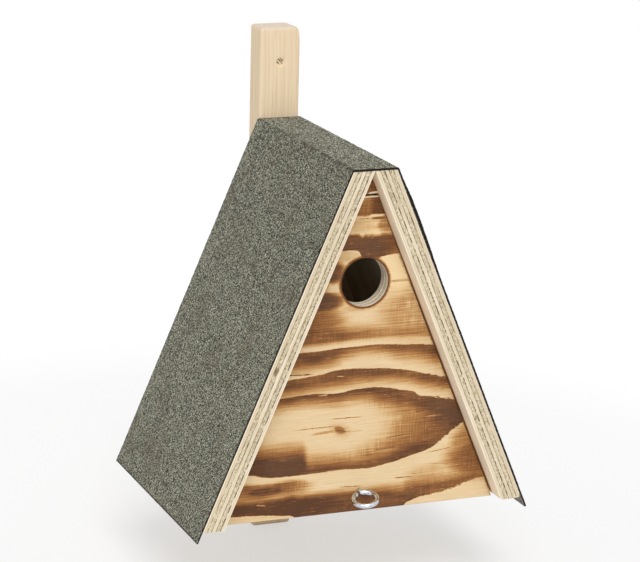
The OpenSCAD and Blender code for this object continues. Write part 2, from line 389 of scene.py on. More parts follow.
# cracks and nicks: x and z at one end, x and z at the other, half the width, strength
CRACKS = (
    (-17, 48.9, -7, 47.2, 0.5, 0.85), (-32, 47.3, -12, 48.6, 1.3, 0.4), (-44, 51.0, -9, 51.2, 0.42, 0.52),
    (-21, 55.6, 3, 55.2, 0.42, 0.6), (-12, 47.2, 3, 46.9, 0.36, 0.4), (-50, 83.6, -28, 82.9, 0.5, 1.05),
    (6, 34.6, 26, 35.2, 0.4, 0.9), (14, 41, 34, 42.6, 0.36, 0.95), (30, 55, 50, 55.6, 0.34, 1.0),
    (34, 36.5, 50, 36, 0.34, 1.0), (40, 29.6, 60, 31.6, 0.36, 0.6), (20, 16.4, 36, 16.0, 0.5, 0.62),
    (40, 23.4, 62, 21.0, 0.4, 0.5), (-14, 14.6, 4, 13.4, 0.5, 0.55), (-6, 170.4, 3, 170.8, 0.4, 0.6),
)
NICKS = (
    (-27, 69.9, -20, 70.1, 0.45, 1.0), (-16, 80.4, -10, 80.1, 0.4, 0.8),
    (-63, 8.8, -56, 8.1, 0.5, 0.9), (40, 51.6, 52, 51.9, 0.45, 0.6),
)
# spots where ash lies on the burn: middle x and z, half width, half height
ASH_SPOTS = ((1, 156, 15, 8), (-26, 125, 14, 7), (-20, 142, 10, 8), (-46, 31, 14, 8), (56, 56, 16, 12))


def dark_and_pale_marks(f, frayed, cloud, threads):
    """The charred rim of the hole, the knot and the cracks, and then the pale nicks."""
    x, z = f.x, f.z

    def line(x0, z0, x1, z1, width, strength):
        """A thin line that runs out at both ends."""
        run = (x - x0) * (1 / (x1 - x0))
        off = abs(z + (frayed - 0.5) * 1.3 - (run * (z1 - z0) + z0))
        return off.ease(width, width * 0.25) * run.ease(-0.02, 0.3) * run.ease(1.02, 0.7) * strength

    from_hole = span(x, z - HOLE_Z)
    knot_x = (x + 12.6 + (z - 48.4) * 0.5 + (frayed - 0.5) * 5.0) * (1 / 4.2)
    knot_z = (z - 48.4 + (cloud - 0.5) * 3.0) * (1 / 2.9)
    knot_r = span(knot_x, knot_z) + (threads - 0.5) * 0.7
    marks = (from_hole + (frayed - 0.5) * 1.6).ease(HOLE_R + 2.6, HOLE_R + 0.4) * 0.9
    marks = marks.most(knot_r.ease(1.2, 0.5) * 0.6).most(knot_r.ease(2.2, 1.0) * 0.2)
    for crack in CRACKS:
        marks = marks.most(line(*crack))
    nicks = line(*NICKS[0])
    for nick in NICKS[1:]:
        nicks = nicks.most(line(*nick))
    return marks, nicks


def scorched(name):
    """Flame-scorched plywood face, flat-sawn grain lying across, with its knot, cracks and nicks."""
    f = Finish(name)
    x, z = f.x, f.z
    burn, comb, frayed = scorch(f)
    lines = f.noise((x * 0.03, z * 1.2), 4.0, 0.65).ease(0.3, 0.7)
    threads = f.noise((x * 0.07, z * 3.0), 2.0, 0.6)
    cloud = f.noise((x * 0.05, z * 0.09), 3.0)
    checks = f.noise((x * 0.1, z * 1.7, 4.0), 2.0, 0.6)
    flecks = f.noise((x * 0.16, z * 2.2, 7.0), 1.0)
    marks, nicks = dark_and_pale_marks(f, frayed, cloud, threads)
    half_burnt = burn.ease(0.03, 0.3) * burn.ease(1.05, 0.7)
    tone = burn * ((cloud - 0.5) * 0.5 + 1.0)
    tone = tone + (lines - 0.5) * (half_burnt * 0.1 + 0.12) + (threads - 0.5) * 0.24 + (cloud - 0.5) * 0.16
    tone = tone + (comb - 0.5) * half_burnt * 0.44 + 0.045
    tone = tone + checks.ease(0.66, 0.76) * (half_burnt * 0.25 + 0.16)
    tone = tone.most(marks)
    tone = tone - flecks.ease(0.66, 0.74) * burn.ease(0.45, 0.8) * 0.42
    # the top arris of the door: bare, worn wood, with a painted highlight where light catches its front edge
    arris_wear_and_highlight = z.ease(DOOR_HI.z - 0.6, DOOR_HI.z - 0.1) * z.ease(DOOR_HI.z + 0.9, DOOR_HI.z + 0.4)
    off_splinter = abs(z - x * 0.1 - SPLINTER_Z + (frayed - 0.5) * 0.6)
    splinter = off_splinter.ease(0.6, 0.3) * x.ease(0.4, 1.6)
    tone = tone - arris_wear_and_highlight * 1.2 - splinter * 0.9 - nicks * 0.7
    colour = tone.ramp(
        (0.0, paint(227, 201, 160)), (0.12, paint(221, 191, 147)), (0.26, paint(209, 171, 121)),
        (0.4, paint(190, 145, 93)), (0.55, paint(166, 117, 69)), (0.7, paint(140, 93, 55)),
        (0.84, paint(117, 78, 50)), (1.0, paint(90, 60, 41)),
    )
    # painted light: the face is blended paler within 18 mm of its right side, from z 88 up, where the right
    # roof panel shades it
    pale = to_right_side(f).ease(18, 3) * z.ease(88, 122) * tone.ease(0.5, 0.1) * 0.5
    colour = f.blend(pale, colour, paint(255, 228, 176))
    # painted highlight on the arris, and the torn pale fibre, both blended to near white
    colour = f.blend(arris_wear_and_highlight.most(splinter) * 0.8, colour, paint(252, 240, 216))
    ash = (cloud + frayed * 0.4 - 0.45).ease(0.0, 0.5)
    for cx, cz, rx, rz in ASH_SPOTS:
        off_x, off_z = (x - cx) * (1 / rx), (z - cz) * (1 / rz)
        near = (off_x * off_x + off_z * off_z).ease(1.3, 0.3) * burn.ease(0.6, 0.9)
        colour = f.blend(near * (ash * 0.5 + 0.08), colour, paint(108, 80, 62))
    height = (lines - 0.5) * 0.1 + (threads - 0.5) * 0.14 - marks.ease(0.3, 1.0) * 0.12
    f.shader.inputs["Specular IOR Level"].default_value = 0.2
    return f.done(colour, burn * -0.08 + (lines * 0.1 + 0.74), height)


def ply_edge(name, layer, run, across, seed, long_first=True, stains=(), cracks=(), bright=CREAM):
    """Sawn edge of plywood. layer counts the plies from one face, run lies along the edge.

    Plies whose grain lies along the edge are smooth and pale, and the crossing ones show end grain.
    A stain is (run, layer, half its length, half its width in plies, colour, strength), and a crack
    is (glue line, strength) where a glue line is open in dark dashes.
    """
    f = Finish(name)
    layer, run, across = (pick(f) for pick in (layer, run, across))
    wobble = f.noise((run * 0.025, seed, layer * 0.3), 3.0)
    level = layer + (wobble - 0.5) * 0.36
    saw = (level * 0.5 + (0.0 if long_first else 0.5)).math("FRACT")
    end_grain = saw.ease(0.46, 0.54) * saw.ease(1.03, 0.95)
    near_glue = abs((level + 0.5).math("FRACT") - 0.5)
    inner_glue = level.ease(0.3, 0.6) * level.ease(PLIES - 0.3, PLIES - 0.6)

    drift = f.noise((run * 0.02, level * 1.1, seed + 1.0), 2.0)
    streak = f.noise((run * 0.05, level * 3.4, seed + across * 0.05), 3.0, 0.65)
    hatch = f.noise((run * 0.9 + level * 1.4, level * 3.8, seed + across * 0.5), 2.0, 0.6)
    speck = f.noise((run * 0.9, level * 3.6, seed + 4.0), 1.0, 0.5)
    gaps = f.noise((run * 0.16, seed + 9.0, (level + 0.5).math("FLOOR") * 7.3), 3.0, 0.65)

    veneer = streak + (drift - 0.5) * 0.5
    smooth_ply = veneer.ramp(
        (0.24, paint(190, 170, 136)), (0.38, paint(216, 199, 169)),
        (0.54, bright), (0.76, paint(235, 221, 195)),
    )
    rough_ply = (hatch + (drift - 0.5) * 0.3).ramp(
        (0.24, paint(128, 110, 81)), (0.38, paint(172, 155, 124)),
        (0.5, paint(208, 193, 162)), (0.68, paint(226, 213, 186)),
    )
    rough_ply = f.blend(speck.ease(0.4, 0.3) * 0.85, rough_ply, paint(112, 95, 68))
    colour = f.blend(end_grain * 0.94, smooth_ply, rough_ply)
    glue = near_glue.ease(0.15, 0.03) * inner_glue * gaps.ease(0.34, 0.54)
    colour = f.blend(glue * 0.8, colour, paint(136, 116, 84))
    void = near_glue.ease(0.2, 0.05) * inner_glue * gaps.ease(0.58, 0.66) * hatch.ease(0.35, 0.55)
    colour = f.blend(void * 0.9, colour, paint(104, 84, 58))
    for line, strength in cracks:
        dashes = f.noise((run * 0.22, line * 5.0, seed + 15.0), 2.0, 0.7)
        open_line = abs(level - line).ease(0.2, 0.07) * dashes.ease(0.46, 0.54)
        colour = f.blend(open_line * strength, colour, paint(92, 76, 54))
    for at, ply, half_run, half_width, stain, strength in stains:
        spot = span((run - at) * (1 / half_run), (level - ply) * (1 / half_width)) + (hatch - 0.5) * 0.8
        colour = f.blend(spot.ease(1.1, 0.6) * strength, colour, stain)
    height = end_grain * (hatch * 0.14) + streak * 0.05 - glue * 0.08 - void * 0.3
    return f.done(colour, streak * 0.1 + 0.74, height)


def ply_face(name, grain, across, seed, light=PALE_VENEER, dark=DARK_VENEER, painted_gap_shade=None):
    """Bare veneer, peeled from the log: broad, wandering figure along the grain.

    painted_gap_shade, where it is given, turns the Finish into a share of brown: painted shade in the gap
    beside the door.
    """
    f = Finish(name)
    grain, across = grain(f), across(f)
    drift = f.noise((grain * 0.008, across * 0.03, seed), 2.0)
    rings = f.noise((grain * 0.006, across * 0.09 + drift * 2.0, seed + 2.0), 3.0, 0.55)
    threads = f.noise((grain * 0.05, across * 2.2, seed + 5.0), 3.0, 0.6)
    tone = rings.ease(0.32, 0.7) * 0.7 + threads.ease(0.3, 0.75) * 0.3
    colour = tone.ramp((0.0, light), (0.55, halfway(light, dark)), (1.0, dark))
    # painted shade: a warm brown blended in by the given share
    if painted_gap_shade:
        colour = f.blend(painted_gap_shade(f), colour, paint(206, 140, 78))
    return f.done(colour, threads * 0.12 + 0.7, threads * 0.1 + rings * 0.1)


def halfway(a, b):
    """The colour halfway between two."""
    return tuple((p + q) / 2 for p, q in zip(a, b))


def planed_softwood(name):
    """Planed spruce, quarter-sawn: fine straight grain up the batten."""
    f = Finish(name)
    bend = f.noise((f.x * 0.02, f.y * 0.02, f.z * 0.006), 2.0)
    across = f.x + bend * 9.0 + f.y * 0.5
    rings = f.noise((across * 0.9, f.z * 0.004, 0.0), 2.0, 0.6)
    threads = f.noise((across * 2.6, f.y * 2.2, f.z * 0.03), 3.0, 0.65)
    drift = f.noise((f.x * 0.08, f.y * 0.08, f.z * 0.02), 2.0)
    dust = f.noise((f.x * 0.9, f.y * 0.9, f.z * 0.5), 2.0)
    tone = rings.ease(0.3, 0.75) * 0.5 + threads.ease(0.3, 0.75) * 0.4 + (drift - 0.5) * 0.4
    bare = tone.ramp(
        (0.0, paint(236, 216, 185)), (0.45, paint(227, 204, 170)),
        (0.75, paint(212, 184, 145)), (1.0, paint(196, 164, 122)),
    )
    speckled = f.blend(dust.ease(0.68, 0.8) * 0.35, bare, paint(170, 138, 98))
    ends = f.noise((f.x * 1.6, f.y * 1.6, 3.0), 3.0, 0.7)
    near_top = f.z.ease(BATTEN_HI.z - 1.5, BATTEN_HI.z - 0.5)
    near_end = near_top.most(f.z.ease(BATTEN_LO.z + 1.5, BATTEN_LO.z + 0.5))
    end_wood = ends.ramp((0.35, paint(196, 180, 162)), (0.6, paint(222, 206, 188)))
    colour = f.blend(near_end * 0.85, speckled, end_wood)
    return f.done(colour, threads * 0.14 + 0.66, threads * 0.12 + rings * 0.06 + near_end * ends * 0.15)


def mineral_felt():
    """Mineral granules pressed into bitumen: slate-green grains of a millimetre or less."""
    f = Finish("mineral_felt")
    coarse = f.cells(f.scaled(2.1))
    fine = f.cells(f.scaled(3.4))
    crumb = f.noise(f.scaled(2.6), 2.0, 0.7)
    patchy = f.noise(f.scaled(0.03), 3.0, 0.6)
    warm = f.noise(f.scaled(0.05, (5.0, 0.0, 0.0)), 2.0)
    grains = coarse * 1.32 + fine * 0.66 + crumb * 0.6 - 0.9
    on_ridge = f.z.ease(APEX - 0.6, APEX + 0.6)
    # painted light: the flat ridge is made lighter; the slopes are also made a little darker towards the top
    painted_ridge_light_and_slope_darkening = on_ridge * 0.045 - f.z.ease(40, APEX - 20) * 0.022
    grey = (grains + (patchy - 0.5) * 0.12 + painted_ridge_light_and_slope_darkening).ramp(
        (0.06, paint(24, 23, 17)), (0.32, paint(58, 57, 45)), (0.5, paint(94, 93, 76)),
        (0.68, paint(134, 133, 112)), (0.92, paint(208, 207, 184)),
    )
    tinted = f.blend(warm.ease(0.48, 0.7) * fine.ease(0.3, 0.8) * 0.45, grey, paint(112, 98, 74))
    bend_x = abs(abs(f.x) - PANEL_T / COS)
    on_bend = bend_x.ease(1.9, 0.5) * f.z.ease(APEX - 2.4, APEX + FELT_T * 0.5) * f.x.ease(2.0, -2.0)
    cracked = f.noise((f.y * 0.25, f.x * 0.2, 2.0), 3.0, 0.7) + f.y.ease(ROOF_REAR, ROOF_FRONT) * 0.08
    to_end = abs(f.x) * -SIN + f.z * COS + (FELT_HI.x - FELT_T * COS) * SIN - FELT_LO.z * COS
    to_rim = to_end.least(f.y - ROOF_FRONT).least(-f.y + ROOF_REAR)
    bald = (to_rim + (crumb - 0.5) * 1.6).ease(0.85, 0.25) * 0.85
    colour = f.blend(bald.most(on_bend * cracked.ease(0.5, 0.6) * 0.8), tinted, paint(50, 43, 32))
    return f.done(colour, crumb * 0.1 + 0.82, coarse * 0.3 + crumb * 0.3)


def bitumen():
    """Cut edge of the felt: black bitumen, with stuck grains on its outer half."""
    f = Finish("bitumen")
    crumb = f.noise(f.scaled(1.4), 3.0, 0.7)
    grain = f.cells(f.scaled(1.2))
    black = crumb.ramp((0.35, paint(20, 17, 11)), (0.55, BITUMEN), (0.72, paint(54, 48, 36)))
    grey = grain.ramp((0.1, paint(60, 60, 50)), (0.5, paint(104, 104, 91)), (0.9, paint(170, 170, 154)))
    out_left = f.measured((-COS, 0, SIN), APEX * SIN + PANEL_T)
    outer_half = (out_left + (crumb - 0.5) * 0.9).ease(FELT_T * 0.5, FELT_T * 0.78) * f.x.ease(-11, -14)
    f.shader.inputs["Specular IOR Level"].default_value = 0.2
    return f.done(f.blend(outer_half, black, grey), crumb * 0.2 + 0.6, crumb * 0.2)


def sanded():
    """Back of the felt: bitumen dusted with fine sand."""
    f = Finish("felt_back")
    grain = f.cells(f.scaled(1.6))
    crumb = f.noise(f.scaled(1.1), 2.0, 0.7)
    colour = (grain * 0.6 + crumb * 0.4).ramp(
        (0.2, paint(52, 50, 44)), (0.5, paint(104, 102, 94)), (0.8, paint(176, 174, 166)),
    )
    return f.done(colour, crumb * 0.1 + 0.8, grain * 0.15)


def zinc():
    """Bright zinc plating, a little blue, with dull patches, and darker patches of colour that are painted
    dark reflections.
    """
    f = Finish("zinc_plating")
    cloud = f.noise(f.scaled(0.5), 3.0, 0.6)
    # painted reflection: the darker patches of this colour stand in for dark surroundings mirrored in the
    # metal
    colour = cloud.ramp(
        (0.3, paint(146, 152, 160)), (0.5, paint(204, 210, 218)),
        (0.62, paint(222, 228, 235)), (0.75, paint(160, 164, 168)),
    )
    return f.done(colour, cloud * 0.22 + 0.12, cloud * 0.02, metallic=1.0)


def steel():
    """Plain drawn steel of nails and screws, greyed by handling."""
    f = Finish("plain_steel")
    cloud = f.noise(f.scaled(1.1), 3.0, 0.6)
    colour = cloud.ramp((0.3, paint(150, 150, 148)), (0.6, paint(184, 184, 182)), (0.8, paint(164, 156, 144)))
    return f.done(colour, cloud * 0.3 + 0.24, cloud * 0.04, metallic=1.0)


# ---------------------------------------------------------------- mesh kit


def linked(name, data):
    """A new object in the scene round some data."""
    made = bpy.data.objects.new(name, data)
    bpy.context.scene.collection.objects.link(made)
    return made


def smooth(mesh, crease):
    """Shades a mesh smooth, but for edges that turn by more than crease degrees."""
    mesh.polygons.foreach_set("use_smooth", [True] * len(mesh.polygons))
    mesh.set_sharp_from_angle(angle=math.radians(crease))


def whole_turn(count):
    """Evenly spaced angles once round."""
    return [2 * math.pi * k / count for k in range(count)]


def spread(start, end, pitch):
    """Evenly spaced values from start to end, both included, about pitch apart."""
    steps = max(1, round(abs(end - start) / pitch))
    return [start + (end - start) * i / steps for i in range(steps + 1)]


def outline_loop(outline, pitch):
    """(point, side number) round a closed outline, its corners kept and points about pitch apart."""
    loop = []
    for side, (a, b) in enumerate(zip(outline, outline[1:] + outline[:1])):
        for share in spread(0, 1, pitch / math.dist(a, b))[:-1]:
            loop.append(((a[0] + (b[0] - a[0]) * share, a[1] + (b[1] - a[1]) * share), side))
    return loop


def hole_loop(hole, side, pitch):
    """(point, side number) round a hole (x, y, radius), clockwise, so that wood is on the left."""
    cx, cy, radius = hole
    count = max(24, round(2 * math.pi * radius / pitch))
    turns = [-2 * math.pi * i / count for i in range(count)]
    return [((cx + radius * math.cos(t), cy + radius * math.sin(t)), side) for t in turns]


def heading(a, b):
    """Unit vector from one flat point to another."""
    return Vector((b[0] - a[0], b[1] - a[1])).normalized()


def rounded(outline, radius, steps=4):
    """The outline with each corner turned into an arc."""
    made = []
    count = len(outline)
    for i, corner in enumerate(outline):
        here = Vector(corner)
        back = (Vector(outline[i - 1]) - here).normalized()
        on = (Vector(outline[(i + 1) % count]) - here).normalized()
        half = back.angle(on) / 2
        reach = radius / math.tan(half)
        centre = here + (back + on).normalized() * (radius / math.sin(half))
        start, end = here + back * reach - centre, here + on * reach - centre
        sweep = start.angle_signed(end)
        for k in range(steps + 1):
            turned = start.copy()
            turned.rotate(Matrix.Rotation(-sweep * k / steps, 2))
            made.append(tuple(centre + turned))
    return made


def set_in(points, amount):
    """Moves the points of a loop to their left by amount, mitred at corners."""
    moved = []
    for before, here, after in zip(points[-1:] + points[:-1], points, points[1:] + points[:1]):
        into, out = heading(before, here), heading(here, after)
        left_in, left_out = Vector((-into.y, into.x)), Vector((-out.y, out.x))
        shift = (left_in + left_out) * (amount / (1 + left_in.dot(left_out)))
        moved.append((here[0] + shift.x, here[1] + shift.y))
    return moved


TRIANGLE_HEIGHT = 0.866                           # of an even triangle with sides of 1
BOARD_CREASE = 50                                 # degrees between faces from which an edge stays sharp
WIRE_CREASE = 42


@dataclass
class Board:
    """A board: a convex outline with round holes, a thickness and eased edges.

    place turns (x, y, depth) on the board into a point of the part, relief gives how far
    the surface lies under its plane there, and slots name the materials of the front face,
    the back face and each side, holes last.
    """

    outline: list
    depth: float
    place: object
    holes: tuple = ()
    ease: float = 0.4
    ease_steps: int = 2
    edge_pitch: float = 1.0
    row_pitch: float = 0.5
    front_pitch: float = 1.0
    back_pitch: float = 4.0
    jitter: float = 0.0
    creases: tuple = ()
    relief: object = None
    points: list = field(default_factory=list)
    faces: list = field(default_factory=list)
    slots: list = field(default_factory=list)
    charts: list = field(default_factory=list)

    def extent(self):
        """Lowest and highest x, then lowest and highest y, of the outline."""
        return [(min(values), max(values)) for values in zip(*self.outline)]

    def profile(self):
        """(inset, depth) of each ring of points from the front face to the back one."""
        turns = [math.pi / 2 * k / self.ease_steps for k in range(self.ease_steps + 1)]
        round_over = [(self.ease * (1 - math.sin(t)), self.ease * (1 - math.cos(t))) for t in turns]
        walls = spread(self.ease, self.depth - self.ease, self.row_pitch)[1:-1]
        under = [(inset, self.depth - down) for inset, down in reversed(round_over)]
        return round_over + [(0.0, down) for down in walls] + under

    def add_sides(self):
        """Adds the rings round the outline and the holes, and the faces between them."""
        loops = [outline_loop(self.outline, self.edge_pitch)]
        for side, hole in enumerate(self.holes, len(self.outline)):
            loops.append(hole_loop(hole, side, self.edge_pitch))
        profile = self.profile()
        rims = []
        for loop in loops:
            flat = [point for point, _ in loop]
            count, first = len(flat), len(self.points)
            for inset, down in profile:
                ring = set_in(flat, inset) if inset else flat
                self.points += [(x, y, down) for x, y in ring]
            rims.append((first, first + (len(profile) - 1) * count, count))
            for row in range(len(profile) - 1):
                for i, (_, side) in enumerate(loop):
                    a, b = first + row * count + i, first + row * count + (i + 1) % count
                    self.faces.append((a, a + count, b + count, b))
                    part = "front" if row < self.ease_steps else "side"
                    part = "back" if row >= len(profile) - 1 - self.ease_steps else part
                    self.slots.append((part, side))
                    self.charts.append(("side", side, i))
        return rims

    def inside(self, x, y, margin):
        """Whether a point lies on the wood, margin away from its edges."""
        for a, b in zip(self.outline, self.outline[1:] + self.outline[:1]):
            along = heading(a, b)
            if along.x * (y - a[1]) - along.y * (x - a[0]) < margin:
                return False
        return all(math.dist((x, y), hole[:2]) > hole[2] + margin for hole in self.holes)

    def grid(self, pitch):
        """Points inside the outline, in rows that give nearly even triangles, and along the creases."""
        margin = self.ease + pitch * 0.55
        rng = random.Random(11)
        (left, right), (low, high) = self.extent()
        rows = spread(low, high, pitch * TRIANGLE_HEIGHT)
        for j, y in enumerate(rows):
            shift = pitch / 2 if j % 2 else 0.0
            for x in spread(left, right, pitch):
                sx = x + shift + rng.uniform(-1, 1) * self.jitter
                sy = y + rng.uniform(-1, 1) * self.jitter
                if self.inside(sx, sy, margin) and all(abs(sx - c) > pitch * 0.4 for c in self.creases):
                    yield Vector((sx, sy))
        for crease in self.creases:
            for y in rows[1:-1]:
                if self.inside(crease, y, margin):
                    yield Vector((crease, y))

    def add_face(self, rims, down, pitch, part):
        """Fills the front or the back face with even triangles between the rims."""
        known, edges = [], []
        for rim in rims:
            start, count = rim[0 if part == "front" else 1], rim[2]
            edges += [(len(known) + i, len(known) + (i + 1) % count) for i in range(count)]
            known += range(start, start + count)
        flat = [Vector(self.points[i][:2]) for i in known] + list(self.grid(pitch))
        made, _, triangles, origins, _, _ = delaunay_2d_cdt(flat, edges, [], 1, 1e-6)
        index = []
        for point, sources in zip(made, origins):
            if sources and sources[0] < len(known):
                index.append(known[sources[0]])
            else:
                index.append(len(self.points))
                self.points.append((point.x, point.y, down))
        chords = [(Vector(hole[:2]), (hole[2] + self.ease) * math.cos(math.pi / rim[2]))
                  for hole, rim in zip(self.holes, rims[1:])]
        for triangle in triangles:
            mid = sum((made[i] for i in triangle), Vector((0, 0))) / 3
            if all((mid - middle).length > reach for middle, reach in chords):
                ids = [index[i] for i in triangle]
                self.faces.append(tuple(ids if part == "front" else reversed(ids)))
                self.slots.append((part, -1))
                self.charts.append((part, -1, 0))

    def unwrapped(self, mesh):
        """Adds a UV map to scale: both faces, and below them a strip for each side."""
        (left, right), (low, top) = self.extent()
        wide, high = right - left, top - low
        swap = high > wide
        long, short = max(wide, high), min(wide, high)
        gap = max(1.0, long / 120)
        strip = self.depth + self.ease * 2 + gap
        sides = len(self.outline) + len(self.holes)
        around = 2 * math.pi * max((hole[2] for hole in self.holes), default=0.0)
        whole = max(long, around, 2 * (short + gap) + strip * sides) + 2 * gap
        layer = mesh.uv_layers.new(name="OFBake")
        values = []
        for polygon, (part, side, i) in zip(mesh.polygons, self.charts):
            for corner in polygon.vertices:
                x, y, down = self.points[corner]
                if part == "side":
                    u = self.run_along(side, i + (corner in polygon.vertices[2:]), x, y)
                    v = 2 * (short + gap) + strip * side + down
                else:
                    u, v = (y - low, x - left) if swap else (x - left, y - low)
                    v += (short + gap) if part == "back" else 0.0
                values += [(u + gap) / whole, (v + gap) / whole]
        layer.data.foreach_set("uv", values)

    def run_along(self, side, steps, x, y):
        """How far a point of a side lies along it. steps counts the points before it round a hole."""
        if side >= len(self.outline):
            return steps * self.edge_pitch
        a, b = self.outline[side], self.outline[(side + 1) % len(self.outline)]
        along = heading(a, b)
        return (x - a[0]) * along.x + (y - a[1]) * along.y

    def piece(self, name, face_materials, side_materials):
        """The finished object. side_materials has one for each side, or one for all of them."""
        rims = self.add_sides()
        self.add_face(rims, 0.0, self.front_pitch, "front")
        self.add_face(rims, self.depth, self.back_pitch, "back")
        mesh = bpy.data.meshes.new(name)
        mesh.from_pydata([self.place(*p) * MM for p in self.points], [], self.faces)
        materials = list(face_materials)
        for material in side_materials:
            if material not in materials:
                materials.append(material)
        for material in materials:
            mesh.materials.append(material)
        numbers = []
        for part, side in self.slots:
            if part == "side":
                wanted = side_materials[min(side, len(side_materials) - 1)]
            else:
                wanted = face_materials[0 if part == "front" else 1]
            numbers.append(materials.index(wanted))
        mesh.polygons.foreach_set("material_index", numbers)
        self.unwrapped(mesh)
        if self.relief:
            normals = [v.normal.copy() for v in mesh.vertices]
            for vertex, normal, at in zip(mesh.vertices, normals, self.points):
                vertex.co -= normal * (self.relief(*at) * MM)
        smooth(mesh, BOARD_CREASE)
        mesh.update()
        return linked(name, mesh)


def lofted(name, rings, material):
    """A closed skin through rings of points in millimetres, with a UV map of its length by its girth."""
    count = len(rings[0])
    mesh = bpy.data.meshes.new(name)
    faces = []
    for base in range(0, (len(rings) - 1) * count, count):
        for i in range(count):
            on = (i + 1) % count
            faces.append((base + i, base + on, base + count + on, base + count + i))
    faces += [tuple(reversed(range(count))), tuple((len(rings) - 1) * count + i for i in range(count))]
    mesh.from_pydata([point * MM for ring in rings for point in ring], [], faces)
    lengths = [0.0]
    for before, after in zip(rings, rings[1:]):
        lengths.append(lengths[-1] + max((a - b).length for a, b in zip(before, after)))
    girth = max(sum((a - b).length for a, b in zip(ring, ring[1:] + ring[:1])) for ring in rings)
    whole = max(lengths[-1], girth) + 1.0
    layer = mesh.uv_layers.new(name="OFBake")
    for polygon in mesh.polygons[:-2]:
        ring, place = divmod(polygon.index, count)
        shares = (place, place + 1, place + 1, place)
        for k, corner in enumerate(polygon.loop_indices):
            along = lengths[ring + (k > 1)]
            layer.data[corner].uv = ((along + 0.5) / whole, (shares[k] / count * girth + 0.5) / whole)
    mesh.materials.append(material)
    smooth(mesh, WIRE_CREASE)
    return linked(name, mesh)


def axes(origin, along_x, along_y, into):
    """A placing for Board: origin plus x, y and depth along three directions."""
    origin, along_x, along_y, into = (Vector(v) for v in (origin, along_x, along_y, into))
    return lambda x, y, down: origin + along_x * x + along_y * y + into * down


def rough(x, y, z, size):
    """Even noise from 0 to 1 with features of the given size."""
    return 0.5 + 0.5 * noise.noise(Vector((x, y, z)) / size)


def settle(piece, node_names, body):
    """Puts a finished piece on its body in place of its CAD nodes."""
    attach(piece, body)
    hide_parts(*node_names)
    return piece


# ---------------------------------------------------------------- pieces

DOOR_SET_IN = inner_x(DOOR_LO.z) - DOOR_HI.x      # level gap between the door and a panel
DOOR_WIDER = 0.12                                 # by which each side of the door stands out past the CAD's
DOOR_LEAN_OUT = 0.9                               # by which its top right corner leans out further
DOOR_TALLER = 0.3                                 # by which its top narrows the saw cut
GABLE_LOWER = 0.5                                 # by which the gable's lower edge narrows the saw cut
HOLE_R = 14.0                                     # entrance hole: radius, and height of its middle
HOLE_Z = 134.0
SPLINTER_Z = GABLE_LO.z - 0.1                     # torn fibre along the gable's lower edge
HANG_R = 1.75                                     # hanging holes: radius, and distance from the batten's ends
HANG_IN = 21


def trapezium(z_low, z_high, gap=0.0):
    """Outline between the roof panels, counter-clockwise seen from the front."""
    low, high = inner_x(z_low) - gap, inner_x(z_high) - gap
    top = [(high, z_high), (-high, z_high)] if high > 0.01 else [(0.0, z_high)]
    return [(-low, z_low), (low, z_low)] + top


def facing_front(y_front):
    """Placing for a board that stands across the box, with its front face at y_front."""
    return axes((0, y_front, 0), (1, 0, 0), (0, 0, 1), (0, 1, 0))


def rightward(f):
    """How far right a point lies."""
    return f.x


def rearward(f):
    """How far back a point lies."""
    return f.y


def upward(f):
    """How high a point lies."""
    return f.z


def plies_behind(y_front, thickness):
    """Counts the plies of a board across the box, from its front face."""
    return lambda f: (f.y - y_front) * (PLIES / thickness)


# stains and open glue lines on the front edges of the panels, as ply_edge takes them
DULL_OUTER_PLY = (APEX / 2, 0.2, 1e3, 0.7, paint(206, 186, 152), 0.6)
LEFT_SPOTS = (
    (61.0, 1.5, 3.2, 0.5, paint(118, 84, 56), 0.8),
    (113.0, 0.1, 2.6, 0.35, paint(216, 160, 110), 0.7),
)
LEFT_CRACKS = ((4, 0.85), (1, 0.4), (3, 0.4))
RIGHT_CRACKS = ((3, 0.95), (2, 0.35), (1, 0.4))
PANEL_LIGHT = paint(250, 238, 216)
PANEL_DARK = paint(238, 220, 194)


